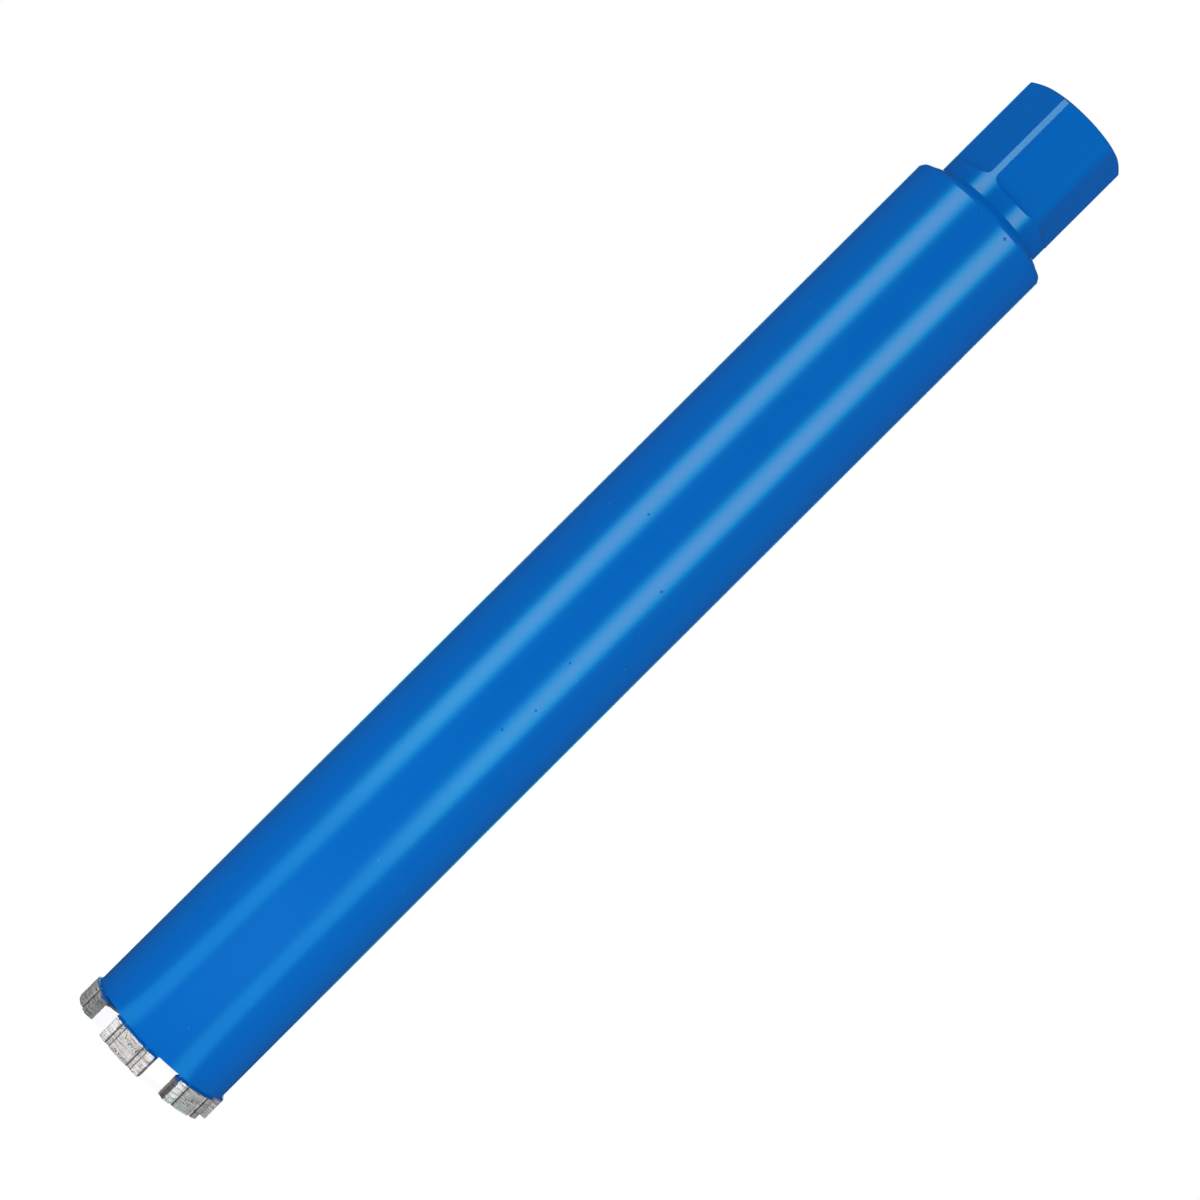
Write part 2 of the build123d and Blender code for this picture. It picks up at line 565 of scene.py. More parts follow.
# braze along the foot of each segment, under the paint
braze = {
    "wall": barrel["radius"] - 0.1 * mm,
    "ledge": 31.1 * mm,
    "ledgeHeight": 9.35 * mm,
    "wallHeight": 10.35 * mm,
    "hollow": 0.22 * mm,
    "low": 8.95 * mm,
    "reach": math.radians(37.4),
    "steps": 46,
    "roundSteps": 12,
    "arcSteps": 40,
    "groove": {**segment["groove"], "mouth": 2.3 * mm, "floor": segment["groove"]["floor"] - 0.4 * mm},
    "innerArc": {
        "radius": 28.05 * mm,
        "height": 9.5 * mm,
        "size": 0.24 * mm,
        "reach": math.radians(19.6),
    },
    "endBead": {
        "height": 9.4 * mm,
        "size": 0.3 * mm,
        "low": 28.2 * mm,
        "high": 30.4 * mm,
        "inset": 1.75 * mm,  # by which a radius is more than its x at the end of a segment
        "lean": 0.33,
    },
    "grooveDrop": {
        "radius": 30.1 * mm,
        "height": 9.15 * mm,
        "size": 0.45 * mm,
        "squash": (0.7, 1.5, 1.2),
    },
    "voxel": 0.13 * mm,
    "lumpSize": 1.1 * mm,
    "lump": 0.22 * mm,
    "lumpLevel": 0.6,
    "smoothing": {"factor": 0.5, "iterations": 2},
}


# the hollow fillet between the tube's wall and the ledge of the segment, cut through at its grooves
def filletBead():
    ledge = Vector((braze["ledge"], braze["ledgeHeight"]))
    wall = Vector((braze["wall"], braze["wallHeight"]))
    inward = Vector((ledge.y - wall.y, wall.x - ledge.x)).normalized()
    middle = (ledge + wall) / 2 + inward * braze["hollow"]
    outline = [
        (braze["wall"], braze["low"]),
        (ledge.x, braze["low"]),
        tuple(ledge),
        tuple(middle),
        tuple(wall),
    ]
    bead = turnOutline("fillet", outline, braze["steps"], angle=braze["reach"])
    cutAway(bead, joinPieces(grooveBars(**braze["groove"]), "filletCutters"))
    return bead


# the bead along the inner foot
def beadArc(radius, height, size, reach):
    clearSelection()
    bpy.ops.mesh.primitive_circle_add(
        vertices=braze["roundSteps"], radius=size, fill_type="NGON",
        location=(radius, 0, height), rotation=(math.pi / 2, 0, 0),
    )
    bead = bpy.context.object
    applyPlace(bead)
    edit(bead)
    bpy.ops.mesh.select_all(action="SELECT")
    bpy.ops.transform.rotate(value=-reach, orient_axis="Z", center_override=(0, 0, 0))
    spinSelected(braze["arcSteps"], 2 * reach)
    return bead


# the bead along the foot of one end
def beadEnd(side, height, size, low, high, inset, lean):
    clearSelection()
    bpy.ops.mesh.primitive_cylinder_add(
        vertices=braze["roundSteps"], radius=size, depth=high - low,
        location=((low + high) / 2 - inset, side * segment["length"] / 2, height),
        rotation=(0, math.pi / 2, side * lean),
    )
    bead = bpy.context.object
    applyPlace(bead)
    return bead


# a drop that fills the foot of one groove
def grooveDrop(side, radius, height, size, squash):
    offset = side * segment["grooveOffset"]
    place = (math.sqrt(radius**2 - offset**2), offset, height)
    clearSelection()
    bpy.ops.mesh.primitive_ico_sphere_add(subdivisions=3, radius=size, location=place, scale=squash)
    drop = bpy.context.object
    applyPlace(drop)
    return drop


def brazeBead():
    pieces = [filletBead(), beadArc(**braze["innerArc"])]
    pieces += [beadEnd(side, **braze["endBead"]) for side in (-1, 1)]
    pieces += [grooveDrop(side, **braze["grooveDrop"]) for side in (-1, 1)]
    return joinPieces(pieces, "braze")


def makeBraze():
    plain = brazeBead()
    lumps = cloudTexture("lumps", braze["lumpSize"])
    beads = []
    for index, angle in enumerate(segmentAngles):
        bead = copyOf(plain, f"segmentBraze{index + 1}")
        turnAbout(bead, angle)
        applyModifier(bead, "REMESH", mode="VOXEL", voxel_size=braze["voxel"], use_smooth_shade=True)
        displace(bead, lumps, braze["lump"], braze["lumpLevel"])
        applyModifier(bead, "SMOOTH", **braze["smoothing"])
        beads.append(bead)
    bpy.data.objects.remove(plain)
    return beads


brazeBeads = makeBraze()
print("stage: braze", sum(len(bead.data.polygons) for bead in brazeBeads), "faces")


# nodes of materials
def newMaterial(name):
    material = bpy.data.materials.new(name)
    material.use_nodes = True
    tree = material.node_tree
    tree.nodes.clear()
    output = tree.nodes.new("ShaderNodeOutputMaterial")
    shader = tree.nodes.new("ShaderNodeBsdfPrincipled")
    tree.links.new(shader.outputs["BSDF"], output.inputs["Surface"])
    return material, tree, shader


def addNode(tree, kind, values=None, **settings):
    node = tree.nodes.new(kind)
    for name, value in settings.items():
        setattr(node, name, value)
    for name, value in (values or {}).items():
        node.inputs[name].default_value = value
    return node


def link(tree, source, target):
    tree.links.new(source, target)


def mixColour(tree, factor, first, second, blend="MIX"):
    node = addNode(tree, "ShaderNodeMix", data_type="RGBA", blend_type=blend)
    if isinstance(factor, float):
        node.inputs["Factor"].default_value = factor
    else:
        link(tree, factor, node.inputs["Factor"])
    for socket, value in ((node.inputs["A"], first), (node.inputs["B"], second)):
        if isinstance(value, tuple):
            socket.default_value = value
        else:
            link(tree, value, socket)
    return node.outputs["Result"]


def mixValue(tree, factor, first, second):
    node = addNode(tree, "ShaderNodeMix", data_type="FLOAT")
    link(tree, factor, node.inputs["Factor"])
    link(tree, first, node.inputs["A"])
    link(tree, second, node.inputs["B"])
    return node.outputs["Result"]


def mapped(tree, source, low, high, first=0.0, last=1.0):
    values = {"From Min": low, "From Max": high, "To Min": first, "To Max": last}
    node = addNode(tree, "ShaderNodeMapRange", values)
    link(tree, source, node.inputs["Value"])
    return node.outputs["Result"]


def combined(tree, operation, first, second):
    node = addNode(tree, "ShaderNodeMath", operation=operation)
    link(tree, first, node.inputs[0])
    link(tree, second, node.inputs[1])
    return node.outputs[0]


def sumOf(tree, first, second, weight):
    node = addNode(tree, "ShaderNodeMath", {1: weight}, operation="MULTIPLY")
    link(tree, second, node.inputs[0])
    return combined(tree, "ADD", first, node.outputs[0])


def noiseAt(tree, place, scale, detail, roughness=0.5):
    values = {"Scale": scale, "Detail": detail, "Roughness": roughness}
    node = addNode(tree, "ShaderNodeTexNoise", values)
    link(tree, place, node.inputs["Vector"])
    return node.outputs["Fac"]


def maskOf(tree, name):
    return addNode(tree, "ShaderNodeAttribute", attribute_name=name).outputs["Fac"]


# how many times a length in millimetres goes into a metre
def perMetre(tree, length):
    node = addNode(tree, "ShaderNodeMath", {0: 1000.0}, operation="DIVIDE")
    link(tree, length, node.inputs[1])
    return node.outputs[0]


# node groups that the materials share
def newGroup(name, inputs, output):
    tree = bpy.data.node_groups.new(name, "ShaderNodeTree")
    for socket, value in inputs.items():
        made = tree.interface.new_socket(name=socket, in_out="INPUT", socket_type="NodeSocketFloat")
        made.default_value = value
    tree.interface.new_socket(name=output, in_out="OUTPUT", socket_type="NodeSocketFloat")
    return tree, tree.nodes.new("NodeGroupInput"), tree.nodes.new("NodeGroupOutput")


# fine lines that run round the axis, as a turning tool or a grinding belt leaves them
def turnedLinesGroup():
    tree, inputs, outputs = newGroup(
        "turnedLines", {"Spacing": 0.2, "Length": 12.0, "Detail": 3.0}, "Lines"
    )
    place = addNode(tree, "ShaderNodeTexCoord")
    across = perMetre(tree, inputs.outputs["Spacing"])
    along = perMetre(tree, inputs.outputs["Length"])
    scale = addNode(tree, "ShaderNodeCombineXYZ")
    link(tree, along, scale.inputs["X"])
    link(tree, along, scale.inputs["Y"])
    link(tree, across, scale.inputs["Z"])
    stretched = addNode(tree, "ShaderNodeVectorMath", operation="MULTIPLY")
    link(tree, place.outputs["Object"], stretched.inputs[0])
    link(tree, scale.outputs[0], stretched.inputs[1])
    grain = addNode(tree, "ShaderNodeTexNoise", {"Scale": 1.0, "Roughness": 0.6})
    link(tree, stretched.outputs[0], grain.inputs["Vector"])
    link(tree, inputs.outputs["Detail"], grain.inputs["Detail"])
    link(tree, grain.outputs["Fac"], outputs.inputs["Lines"])
    return tree


# sparse round specks: 1 in a speck and 0 between them
def specksGroup():
    tree, inputs, outputs = newGroup(
        "specks", {"Spacing": 6.0, "Size": 0.05, "Share": 0.3}, "Specks"
    )
    place = addNode(tree, "ShaderNodeTexCoord")
    cells = addNode(tree, "ShaderNodeTexVoronoi", feature="F1")
    link(tree, place.outputs["Object"], cells.inputs["Vector"])
    link(tree, perMetre(tree, inputs.outputs["Spacing"]), cells.inputs["Scale"])
    parted = addNode(tree, "ShaderNodeSeparateColor")
    link(tree, cells.outputs["Color"], parted.inputs["Color"])
    inside = combined(tree, "LESS_THAN", cells.outputs["Distance"], inputs.outputs["Size"])
    chosen = combined(tree, "LESS_THAN", parted.outputs["Red"], inputs.outputs["Share"])
    link(tree, combined(tree, "MULTIPLY", inside, chosen), outputs.inputs["Specks"])
    return tree


turnedLines = turnedLinesGroup()
specks = specksGroup()


def groupNode(tree, group, **values):
    node = tree.nodes.new("ShaderNodeGroup")
    node.node_tree = group
    for name, value in values.items():
        node.inputs[name].default_value = value
    return node.outputs[0]


# paint: what all coats share, and what each of them has of its own
paint = {
    "dustColour": (0.16, 0.33, 0.62, 1),
    "specularTint": (0.2, 0.95, 1.0, 1),
    "specularLevel": 1.0,
    "cloud": {"scale": 35.0, "detail": 3.0},
    "peel": {"scale": 1400.0, "detail": 2.0},
    "lineLength": 14.0,
    "lineReach": (0.3, 0.7),  # where most values of the lines' noise lie
    "dustSpacing": 5.0,
    "dustSize": 0.03,
    "roughnessSwing": 0.04,
    "peelHeight": 0.25,  # in depths of the turned lines, as are the next two
    "dustHeight": 0.8,
    "nickDepth": 80.0,
    "nickCore": 0.3,  # the share of a nick's size that is at its full depth
}
blueTones = ((0.0, 0.112, 0.47, 1), (0.0, 0.104, 0.44, 1))
coats = {
    "barrelPaint": {
        "tones": blueTones,
        "roughness": 0.19,
        "spacing": 0.22,
        "depth": 0.0045 * mm,
        "dustShare": 0.25,
        "nicks": (
            ((6.38 * mm, -29.31 * mm, 418.7 * mm), 0.60 * mm),
            ((-7.25 * mm, -29.11 * mm, 418.9 * mm), 0.35 * mm),
            ((9.23 * mm, -28.54 * mm, 247.2 * mm), 0.50 * mm),
            ((3.77 * mm, -29.76 * mm, 174.2 * mm), 0.50 * mm),
            ((-13.11 * mm, -26.98 * mm, 263.0 * mm), 0.45 * mm),
            ((4.12 * mm, -29.72 * mm, 207.1 * mm), 0.40 * mm),
            ((7.52 * mm, -29.04 * mm, 187.1 * mm), 0.40 * mm),
        ),
    },
    "hubPaint": {
        "tones": blueTones,
        "roughness": 0.18,
        "spacing": 0.3,
        "depth": 0.003 * mm,
        "dustShare": 0.1,
    },
    "weldPaint": {
        "tones": blueTones,
        "roughness": 0.24,
        "spacing": 0.6,
        "depth": 0.004 * mm,
        "dustShare": 0.1,
    },
    "brazePaint": {
        # darker than the barrel's blue: painted shade of the crevice at each segment's foot
        "tones": ((0.0, 0.085, 0.37, 1), (0.0, 0.055, 0.26, 1)),
        "roughness": 0.2,
        "spacing": 0.9,
        "depth": 0.004 * mm,
        "dustShare": 0.0,
    },
}


# 1 in the middle of each small nick in the paint, by its place and size
def nickFactor(tree, place, nicks):
    marks = None
    for point, size in nicks:
        away = addNode(tree, "ShaderNodeVectorMath", {1: point}, operation="DISTANCE")
        link(tree, place, away.inputs[0])
        mark = mapped(tree, away.outputs["Value"], size, paint["nickCore"] * size)
        marks = combined(tree, "MAXIMUM", marks, mark) if marks else mark
    return marks


def paintMaterial(name, tones, roughness, spacing, depth, dustShare, nicks=()):
    material, tree, shader = newMaterial(name)
    shader.inputs["Specular IOR Level"].default_value = paint["specularLevel"]
    shader.inputs["Specular Tint"].default_value = paint["specularTint"]
    place = addNode(tree, "ShaderNodeTexCoord").outputs["Object"]
    colour = mixColour(tree, noiseAt(tree, place, **paint["cloud"]), *tones)
    dust = groupNode(tree, specks, Spacing=paint["dustSpacing"], Size=paint["dustSize"], Share=dustShare)
    colour = mixColour(tree, dust, colour, paint["dustColour"])
    link(tree, colour, shader.inputs["Base Color"])
    lines = groupNode(tree, turnedLines, Spacing=spacing, Length=paint["lineLength"], Detail=3.0)
    swing = paint["roughnessSwing"]
    rough = mapped(tree, lines, *paint["lineReach"], roughness - swing, roughness + swing)
    link(tree, rough, shader.inputs["Roughness"])
    height = sumOf(tree, lines, noiseAt(tree, place, **paint["peel"]), paint["peelHeight"])
    height = sumOf(tree, height, dust, paint["dustHeight"])
    if nicks:
        height = sumOf(tree, height, nickFactor(tree, place, nicks), -paint["nickDepth"])
    bump = addNode(tree, "ShaderNodeBump", {"Strength": 1.0, "Distance": depth})
    link(tree, height, bump.inputs["Height"])
    link(tree, bump.outputs["Normal"], shader.inputs["Normal"])
    return material


# bare metal of the segments
metal = {
    "light": (0.9, 0.945, 0.93, 1),
    "dark": (0.095, 0.098, 0.094, 1),
    "innerLight": (0.42, 0.37, 0.34, 1),
    "innerDark": (0.14, 0.125, 0.115, 1),
    "pit": (0.015, 0.015, 0.015, 1),
    # the tone that painted shade multiplies into the bare metal
    "paintedShade": (0.035, 0.03, 0.026, 1),
    "paint": (0.0, 0.07, 0.30, 1),
    "metallic": 0.25,
    "roughness": (0.38, 0.55),
    "innerReach": (28.9 * mm, 29.3 * mm),  # the radii between which the inner tone ends
    "levelReach": (0.6, 0.8),  # from upright (0) to level (1), where a face becomes a cutting face
    "grain": {"scale": 3000.0, "detail": 4.0, "roughness": 0.7},
    "grainReach": (0.3, 0.7),
    "scratches": {"Rotation": (0, 0, 0.6), "Scale": (7000.0, 320.0, 1.0)},
    "fineLines": {"Spacing": 0.16, "Length": 6.0, "Detail": 3.0},
    "coarseLines": {"Spacing": 0.6, "Length": 9.0, "Detail": 2.0},
    "coarseShare": 0.45,
    "pits": {"Spacing": 1.0, "Size": 0.27, "Share": 0.55},
    "pitHeight": -2.0,
    "clusters": {"scale": 260.0, "detail": 1.0},
    "clusterReach": (0.53, 0.56),
    "toneGrain": 0.8,
    "toneReach": (0.74, 0.98),
    "innerToneReach": (0.35, 0.65),
    "raggedGrain": 1.2,  # how far the grain breaks up the edge of the paint
    "coverReach": (1.0, 1.2),
    "heightGrain": 0.9,
    "depth": 0.05 * mm,
}


# scratches that a grinding wheel leaves across the cutting faces
def scratchFactor(tree, place):
    turned = addNode(tree, "ShaderNodeMapping", metal["scratches"])
    link(tree, place, turned.inputs["Vector"])
    return noiseAt(tree, turned.outputs["Vector"], scale=1.0, detail=2.0)


# 1 on the faces that look up or down, 0 on the upright ones
def levelFaces(tree, normal):
    parted = addNode(tree, "ShaderNodeSeparateXYZ")
    link(tree, normal, parted.inputs["Vector"])
    upright = addNode(tree, "ShaderNodeMath", operation="ABSOLUTE")
    link(tree, parted.outputs["Z"], upright.inputs[0])
    return mapped(tree, upright.outputs[0], *metal["levelReach"])


# 1 on the segment's inner face, 0 on its outer one
def innerFaces(tree, place):
    flat = addNode(tree, "ShaderNodeVectorMath", {1: (1, 1, 0)}, operation="MULTIPLY")
    link(tree, place, flat.inputs[0])
    radial = addNode(tree, "ShaderNodeVectorMath", operation="LENGTH")
    link(tree, flat.outputs[0], radial.inputs[0])
    near, far = metal["innerReach"]
    return mapped(tree, radial.outputs["Value"], far, near)


def segmentMaterial():
    material, tree, shader = newMaterial("sinteredSegment")
    coordinates = addNode(tree, "ShaderNodeTexCoord")
    place = coordinates.outputs["Object"]
    grain = noiseAt(tree, place, **metal["grain"])
    level = levelFaces(tree, coordinates.outputs["Normal"])
    inner = combined(tree, "MULTIPLY", innerFaces(tree, place), mapped(tree, level, 1.0, 0.0))
    fine = groupNode(tree, turnedLines, **metal["fineLines"])
    coarse = groupNode(tree, turnedLines, **metal["coarseLines"])
    turned = mixColour(tree, metal["coarseShare"], fine, coarse)
    marks = mixValue(tree, level, turned, scratchFactor(tree, place))
    clusters = noiseAt(tree, place, **metal["clusters"])
    clustered = mapped(tree, combined(tree, "SUBTRACT", clusters, inner), *metal["clusterReach"])
    pitted = combined(tree, "MULTIPLY", groupNode(tree, specks, **metal["pits"]), clustered)
    tone = mapped(tree, sumOf(tree, marks, grain, metal["toneGrain"]), *metal["toneReach"])
    outside = mixColour(tree, tone, metal["dark"], metal["light"])
    # painted shade: the metal is darkened on the end faces, at the feet of the groove walls, and on the
    # pads that get less light
    shaded = mixColour(tree, 1.0, outside, metal["paintedShade"], "MULTIPLY")
    outside = mixColour(tree, maskOf(tree, "paintedShadeMask"), outside, shaded)
    innerTone = mapped(tree, grain, *metal["innerToneReach"])
    inside = mixColour(tree, innerTone, metal["innerDark"], metal["innerLight"])
    bare = mixColour(tree, inner, outside, inside)
    bare = mixColour(tree, pitted, bare, metal["pit"])
    ragged = sumOf(tree, maskOf(tree, "paintMask"), grain, metal["raggedGrain"])
    cover = mapped(tree, ragged, *metal["coverReach"])
    link(tree, mixColour(tree, cover, bare, metal["paint"]), shader.inputs["Base Color"])
    link(tree, mapped(tree, cover, 0.0, 1.0, metal["metallic"], 0.0), shader.inputs["Metallic"])
    rough = mapped(tree, grain, *metal["grainReach"], *metal["roughness"])
    link(tree, rough, shader.inputs["Roughness"])
    height = sumOf(tree, marks, grain, metal["heightGrain"])
    height = sumOf(tree, height, pitted, metal["pitHeight"])
    bump = addNode(tree, "ShaderNodeBump", {"Strength": 1.0, "Distance": metal["depth"]})
    link(tree, height, bump.inputs["Height"])
    link(tree, bump.outputs["Normal"], shader.inputs["Normal"])
    return material


# where overspray lies on a segment: 1 under paint, 0 bare
overspray = {
    "softEnd": 3.4 * mm,
    "softInner": 0.7 * mm,
    "endReach": 0.25 * mm,  # how deep in the block each kind of face still counts as that face
    "innerReach": 0.9 * mm,
    "outerReach": 0.5 * mm,
    "cuttingReach": 0.3 * mm,
    "endFace": 0.86,  # the bare share of the segment's height on each kind of face
    "outerFace": 1.2,
    "groove": 1.12,
    "innerFace": (  # for each segment, at its left end, in the middle and at its right end
        (0.25, 0.2, 0.55),
        (0.62, 0.6, 0.3),
        (0.1, 0.1, 0.1),
        (0.65, 0.25, 0.1),
        (0.1, 0.3, 0.6),
        (0.4, 0.5, 0.5),
    ),
}


def paintedAt(radial, along, height, index):
    halfLength = segment["length"] / 2
    soft = overspray["softEnd"]
    if abs(along) > halfLength - overspray["endReach"]:
        bareShare = overspray["endFace"]
    elif radial < segment["inner"] + overspray["innerReach"]:
        left, middle, right = overspray["innerFace"][index]
        across = abs(along) / halfLength
        ease = across * across * (3 - 2 * across)
        bareShare = middle + ((left if along < 0 else right) - middle) * ease
        soft = overspray["softInner"]
    elif radial > segment["outer"] - overspray["outerReach"]:
        bareShare = overspray["outerFace"]
    else:
        bareShare = overspray["groove"]
    if height < overspray["cuttingReach"]:
        return 0.0
    depth = (height - bareShare * segment["height"]) / soft
    return min(1.0, max(0.0, 0.5 + depth))


# painted shade of each segment: on its two end faces, at the feet of its groove walls, and on its outer
# pads from left to right, darker where less light falls
paintedShade = {
    "ends": ((0.25, 0.4), (0.3, 0.5), (0.5, 0.4), (0.6, 0.65), (0.4, 0.7), (0.82, 0.6)),
    "pads": (
        (0.2, 0.35, 0.3),
        (0.3, 0.2, 0.1),
        (0.1, 0.4, 0.3),
        (0.3, 0.45, 0.5),
        (0.0, 0.12, 0.02),
        (0.0, 0.42, 0.45),
    ),
    "reach": 1.3 * segment["groove"]["depth"],  # how far in from the outer face there is any
    "place": 0.95 * mm,  # the painted shade line at the foot of a groove's wall, from the middle of the groove
    "width": 0.42 * mm,
    "grooveShare": 0.2,  # of the pad's painted shade, on the floor of a groove
}


def paintedShadeAt(radial, along, index):
    side = 1 if along > 0 else 0
    if abs(along) > segment["length"] / 2 - overspray["endReach"]:
        return paintedShade["ends"][index][side]
    if radial < segment["outer"] - paintedShade["reach"]:
        return 0.0
    left, middle, right = paintedShade["pads"][index]
    offset = abs(along) - segment["grooveOffset"]
    pad = middle if offset < 0 else (right if along > 0 else left)
    line = 1 - abs(abs(offset) - paintedShade["place"]) / paintedShade["width"]
    if abs(offset) < paintedShade["place"]:
        pad *= paintedShade["grooveShare"]
    return max(pad, line)


# each vertex of a segment gets its share of overspray and of painted shade
def markSegment(block, index):
    painted = []
    shaded = []
    for vertex in block.data.vertices:
        radial = math.hypot(vertex.co.x, vertex.co.y)
        along = radial * math.sin(math.atan2(vertex.co.y, vertex.co.x) - segmentAngles[index])
        painted.append(paintedAt(radial, along, vertex.co.z, index))
        shaded.append(paintedShadeAt(radial, along, index))
    for name, values in (("paintMask", painted), ("paintedShadeMask", shaded)):
        block.data.attributes.new(name, "FLOAT", "POINT").data.foreach_set("value", values)


paints = {name: paintMaterial(name, **coat) for name, coat in coats.items()}
bareSegment = segmentMaterial()


def dress(piece, material, slot, *nodes):
    piece.data.materials.clear()
    piece.data.materials.append(material)
    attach(piece, "root")
    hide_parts(*nodes)


dress(tube, paints["barrelPaint"], "barrel_paint", "barrel_tube")
dress(hubBody, paints["hubPaint"], "hub_paint", "hub")
dress(hubWeld, paints["weldPaint"], "weld_paint", "hub_weld")
for index, block in enumerate(segments):
    markSegment(block, index)
    dress(block, bareSegment, "segment_metal", f"segment_{index + 1}")
for index, bead in enumerate(brazeBeads):
    dress(bead, paints["brazePaint"], "braze_paint", f"segment_braze_{index + 1}")
print("stage: materials")

# the studio: a white floor and backdrop, and dark walls that only reflections see
stage = {
    "floorSize": 30.0,
    "floorTone": 0.8,
    "floorShown": 0.16,  # the tone of the floor that the camera sees, and what is added to it there
    "floorLift": 0.90,
    "floorSeen": 0.02,  # the tone of the floor in reflections
    "frontLight": 0.66,
    "backLight": 0.98,
    "white": (1, 1, 1, 1),
    "wallEnd": (0.92, 0.98),  # share of the way ahead up to which reflections see dark walls
    "wallTone": 0.03,
    "glowFrom": (-0.88, -0.80),  # where the floor glows for reflections, a painted reflection of the strip lamps, as a share of the way ahead
    "glowTo": (-0.60, -0.52),
    "glow": 1.1,
    # the colour of the painted reflection of the strip lamps on the floor
    "glowColour": (0.35, 1, 1, 1),
}

camera = {
    "azimuth": -7.8,  # degrees, as are the last three
    "distance": 1030.6 * mm,
    "side": 6.16 * mm,
    "height": 218.2 * mm,
    "lens": 86.52,
    "sensor": 36,
    "pitch": 0.675,
    "yaw": 0.362,
    "roll": 45.112,
}


# how far a direction points the way that the camera looks, from -1 to 1
def aheadShare(tree, direction):
    turn = math.radians(camera["azimuth"])
    way = (-math.sin(turn), math.cos(turn), 0)
    unit = addNode(tree, "ShaderNodeVectorMath", operation="NORMALIZE")
    link(tree, direction, unit.inputs[0])
    ahead = addNode(tree, "ShaderNodeVectorMath", {1: way}, operation="DOT_PRODUCT")
    link(tree, unit.outputs[0], ahead.inputs[0])
    return ahead.outputs["Value"]


# 1 for light that is on its way from a mirroring or clear surface
def bouncedShare(tree, path):
    return combined(tree, "MAXIMUM", path.outputs["Is Glossy Ray"], path.outputs["Is Transmission Ray"])


# the dark walls end at the white backdrop behind the object
def wallStrength(tree, ahead):
    return mapped(tree, ahead, *stage["wallEnd"], stage["wallTone"], 1.0)


# what reflections see of the floor: the walls' tone, and two glowing bands that are painted reflections of
# the strip lamps
def floorStrength(tree, ahead):
    rising = mapped(tree, ahead, *stage["glowFrom"], 0.0, stage["glow"])
    falling = mapped(tree, ahead, *stage["glowTo"], stage["glow"], 0.0)
    return combined(tree, "MAXIMUM", combined(tree, "MINIMUM", rising, falling), wallStrength(tree, ahead))


def makeFloor():
    clearSelection()
    bpy.ops.mesh.primitive_plane_add(size=stage["floorSize"], location=(0, 0, 0))
    floor = bpy.context.object
    floor.name = "floor"
    material, tree, shader = newMaterial("floorWhite")
    shader.inputs["Roughness"].default_value = 1.0
    shader.inputs["Specular IOR Level"].default_value = 0.0
    place = addNode(tree, "ShaderNodeTexCoord")
    path = addNode(tree, "ShaderNodeLightPath")
    shown = path.outputs["Is Camera Ray"]
    bounced = bouncedShare(tree, path)
    reflected = floorStrength(tree, aheadShare(tree, place.outputs["Object"]))
    reflected = combined(tree, "MULTIPLY", bounced, reflected)
    link(tree, mixColour(tree, shown, stage["glowColour"], stage["white"]), shader.inputs["Emission Color"])
    lift = mapped(tree, shown, 0.0, 1.0, 0.0, stage["floorLift"])
    link(tree, combined(tree, "MAXIMUM", lift, reflected), shader.inputs["Emission Strength"])
    cameraTone = mapped(tree, shown, 0.0, 1.0, stage["floorTone"], stage["floorShown"])
    bouncedTone = mapped(tree, bounced, 0.0, 1.0, stage["floorTone"], stage["floorSeen"])
    link(tree, combined(tree, "MINIMUM", cameraTone, bouncedTone), shader.inputs["Base Color"])
    material.cycles.emission_sampling = "NONE"  # or its light would be taken without its Light Path
    floor.data.materials.append(material)


def makeWorld():
    world = bpy.data.worlds.new("studio")
    bpy.context.scene.world = world
    world.use_nodes = True
    world.cycles.sampling_method = "NONE"
    tree = world.node_tree
    tree.nodes.clear()
    output = addNode(tree, "ShaderNodeOutputWorld")
    back = addNode(tree, "ShaderNodeBackground", {"Color": stage["white"]})
    place = addNode(tree, "ShaderNodeTexCoord")
    ahead = aheadShare(tree, place.outputs["Generated"])
    path = addNode(tree, "ShaderNodeLightPath")
    light = mapped(tree, ahead, -1.0, 1.0, stage["frontLight"], stage["backLight"])
    light = mixValue(tree, bouncedShare(tree, path), light, wallStrength(tree, ahead))
    strength = combined(tree, "MAXIMUM", path.outputs["Is Camera Ray"], light)
    link(tree, strength, back.inputs["Strength"])
    link(tree, back.outputs[0], output.inputs["Surface"])


# lamps that stand round the barrel, by their turn from the camera in degrees; metres and watts
strip = {"distance": 1.5, "height": 0.475, "size": (1.15, 0.95), "glossy": True}
lamps = {
    "stripLeft": {**strip, "turn": -45.5, "power": 8.3},
    "stripRight": {**strip, "turn": 41, "power": 8.3},
    "stripBack": {**strip, "turn": 180, "power": 5.0},
    "lowFill": {
        "distance": 0.25,
        "height": 0.03,
        "size": (0.3, 0.06),
        "glossy": False,
        "turn": 0,
        "power": 0.22,
    },
}
innerLamp = {"height": 14 * mm, "size": 8 * mm, "power": 0.012}
fade = {
    "edge": 0.22,  # share of a lamp's width over which each of its upright edges fades
    "footReach": (0.1, 0.4),  # shares of a lamp's height
    "footLight": 0.76,
    "footRedReach": (0.0, 0.22),
    "footRed": 0.3,
    "redEdge": (0.15, 0.42),  # shares of a lamp's width between which its red rises
    "redGain": 2.54,
}


# the red of a strip lamp, which is strongest in the middle of its width and weak at its foot
def lampRed(tree, across, up):
    near, far = fade["redEdge"]
    left = mapped(tree, across, near, far, 0.0, fade["redGain"])
    right = mapped(tree, across, 1.0 - near, 1.0 - far, 0.0, fade["redGain"])
    foot = mapped(tree, up, *fade["footRedReach"], fade["footRed"], 1.0)
    return combined(tree, "MULTIPLY", foot, combined(tree, "MINIMUM", left, right))


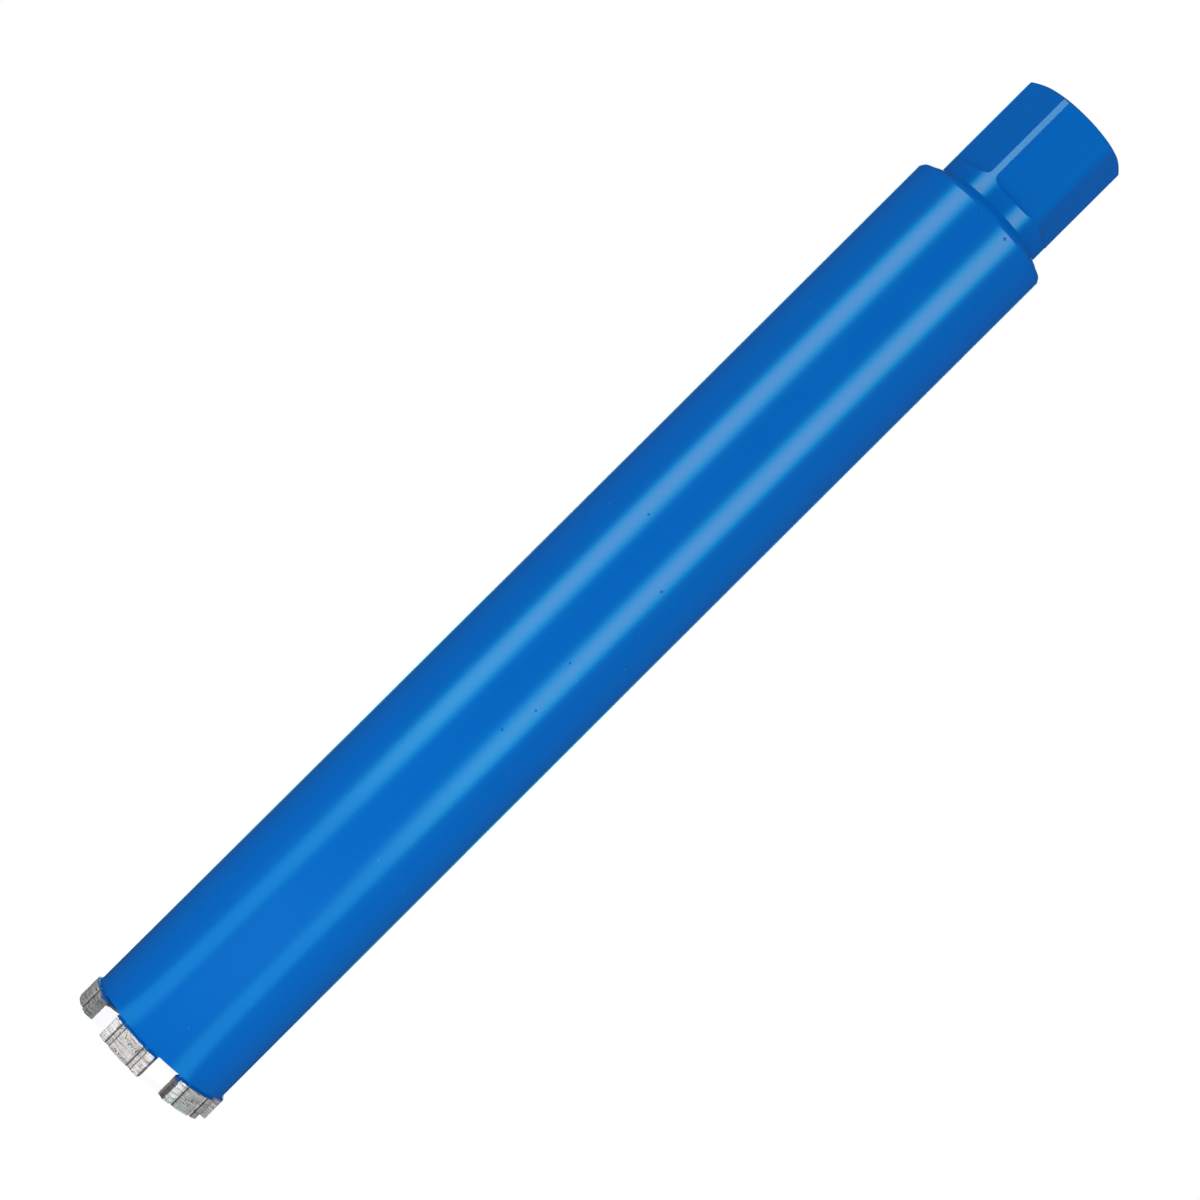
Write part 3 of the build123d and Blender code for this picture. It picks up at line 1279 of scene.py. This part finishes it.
# a lamp fades out towards its two upright edges, and the foot of a strip lamp is weaker and less red
def fadeEdges(light):
    light.data.use_nodes = True
    tree = light.data.node_tree
    shader = tree.nodes["Emission"]
    place = addNode(tree, "ShaderNodeNewGeometry")
    parted = addNode(tree, "ShaderNodeSeparateXYZ")
    link(tree, place.outputs["Parametric"], parted.inputs["Vector"])
    across = parted.outputs["X"]
    up = parted.outputs["Y"]
    left = mapped(tree, across, 0.0, fade["edge"])
    right = mapped(tree, across, 1.0, 1.0 - fade["edge"])
    strength = combined(tree, "MINIMUM", left, right)
    if light.visible_glossy:
        foot = mapped(tree, up, *fade["footReach"], fade["footLight"], 1.0)
        strength = combined(tree, "MULTIPLY", strength, foot)
        colour = addNode(tree, "ShaderNodeCombineColor", {"Green": 1.0, "Blue": 1.0})
        link(tree, lampRed(tree, across, up), colour.inputs["Red"])
        link(tree, colour.outputs["Color"], shader.inputs["Color"])
    link(tree, strength, shader.inputs["Strength"])


def makeLamps():
    for name, lamp in lamps.items():
        clearSelection()
        turn = math.radians(camera["azimuth"] + lamp["turn"])
        place = Vector((math.sin(turn), -math.cos(turn), 0)) * lamp["distance"]
        place.z = lamp["height"]
        aim = (Vector((0, 0, lamp["height"])) - place).to_track_quat("-Z", "Y")
        bpy.ops.object.light_add(type="AREA", location=place, rotation=aim.to_euler())
        light = bpy.context.object
        light.name = name
        light.data.shape = "RECTANGLE"
        light.data.size = lamp["size"][0]
        light.data.size_y = lamp["size"][1]
        light.data.energy = lamp["power"]
        light.visible_camera = False
        light.visible_glossy = lamp["glossy"]
        fadeEdges(light)


# a small lamp inside the crown, which lights the segments from within
def makeInnerLamp():
    clearSelection()
    place = (0, 0, innerLamp["height"])
    bpy.ops.object.light_add(type="POINT", radius=innerLamp["size"], location=place)
    light = bpy.context.object
    light.name = "innerFill"
    light.data.energy = innerLamp["power"]
    light.visible_camera = False
    light.visible_glossy = False


def makeCamera():
    turn = math.radians(camera["azimuth"])
    right = Vector((math.cos(turn), math.sin(turn), 0))
    back = Vector((math.sin(turn), -math.cos(turn), 0))
    place = back * camera["distance"] + right * camera["side"]
    place.z = camera["height"]
    clearSelection()
    bpy.ops.object.camera_add(location=place)
    eye = bpy.context.object
    upright = Matrix.Rotation(turn + math.radians(camera["yaw"]), 3, "Z")
    level = Matrix.Rotation(math.radians(90 + camera["pitch"]), 3, "X")
    roll = Matrix.Rotation(math.radians(camera["roll"]), 3, "Z")
    eye.rotation_euler = (upright @ level @ roll).to_euler()
    eye.data.lens = camera["lens"]
    eye.data.sensor_width = camera["sensor"]
    eye.data.sensor_fit = "AUTO"
    bpy.context.scene.camera = eye


makeFloor()
makeWorld()
makeLamps()
makeInnerLamp()
makeCamera()
bpy.context.scene.view_settings.view_transform = "Standard"
print("stage: floor, light and camera")
